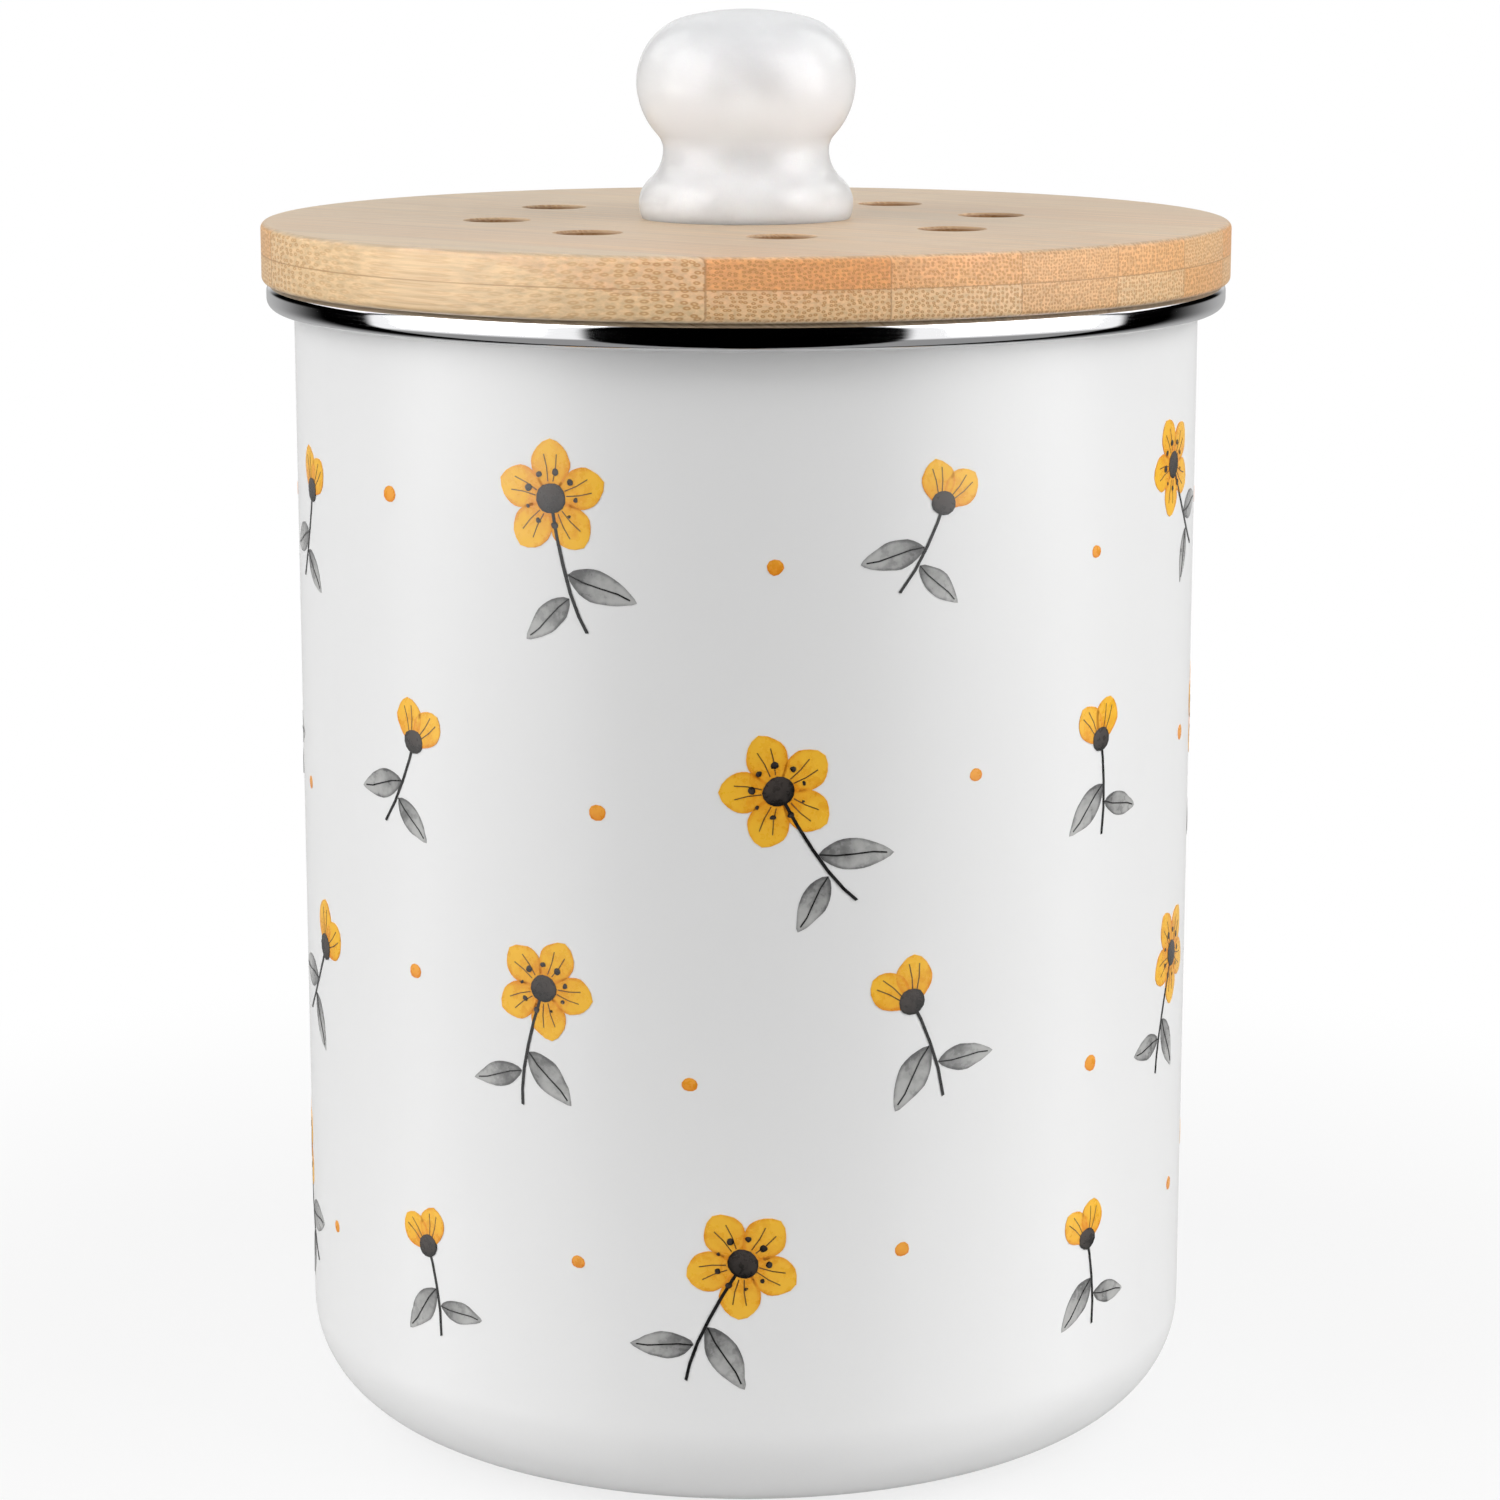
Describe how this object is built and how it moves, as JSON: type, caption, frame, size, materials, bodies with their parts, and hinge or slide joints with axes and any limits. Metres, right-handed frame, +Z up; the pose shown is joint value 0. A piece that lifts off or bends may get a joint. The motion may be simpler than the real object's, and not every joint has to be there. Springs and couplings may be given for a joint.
{
  "type": "food waste caddy",
  "caption": "Round white enamel kitchen caddy for food scraps, with a bright steel rim, a lift-off bamboo lid with vent holes, a turned white knob, and a filter inside the lid.",
  "frame": {"origin": "centre of the base, on the surface that the caddy stands on", "axes": "+Z up along the pot's axis, -Y towards the viewer of the picture, +X to the viewer's right"},
  "size_m": [0.154, 0.154, 0.2258],
  "materials": {
    "enamel": "glossy white enamel",
    "rim_steel": "polished stainless",
    "bamboo_upper": "sanded bamboo",
    "bamboo_lower": "sanded bamboo",
    "bamboo_plug": "sanded bamboo",
    "silicone": "matt translucent white",
    "charcoal": "black felt",
    "knob_glaze": "glossy glaze",
    "brass": "turned",
    "zinc_steel": "zinc plated"
  },
  "bodies": {
    "pot": {"enamel_pot": "enamel", "rim_band": "rim_steel"},
    "seal": {"lid_seal": "silicone"},
    "lid": {"upper_stave_front_4": "bamboo_upper", "upper_stave_front_3": "bamboo_upper", "upper_stave_front_2": "bamboo_upper", "upper_stave_front_1": "bamboo_upper", "upper_stave_middle": "bamboo_upper", "upper_stave_back_1": "bamboo_upper", "upper_stave_back_2": "bamboo_upper", "upper_stave_back_3": "bamboo_upper", "upper_stave_back_4": "bamboo_upper", "lower_stave_front_4": "bamboo_lower", "lower_stave_front_3": "bamboo_lower", "lower_stave_front_2": "bamboo_lower", "lower_stave_front_1": "bamboo_lower", "lower_stave_middle": "bamboo_lower", "lower_stave_back_1": "bamboo_lower", "lower_stave_back_2": "bamboo_lower", "lower_stave_back_3": "bamboo_lower", "lower_stave_back_4": "bamboo_lower", "plug_ring": "bamboo_plug", "knob": "knob_glaze", "knob_insert": "brass", "knob_screw": "zinc_steel", "knob_washer": "zinc_steel"},
    "filter": {"charcoal_filter": "charcoal"}
  },
  "joints": [
    {"name": "lid_lift", "type": "slide", "parent": "pot", "child": "seal", "axis": [0, 0, 1], "range_m": [0, 0.2]},
    {"name": "lid_turn", "type": "hinge", "parent": "seal", "child": "lid", "pos_m": [0, 0, 0.1835], "axis": [0, 0, 1], "continuous": true},
    {"name": "filter_pull", "type": "slide", "parent": "lid", "child": "filter", "axis": [0, 0, -1], "range_m": [0, 0.03]}
  ]
}
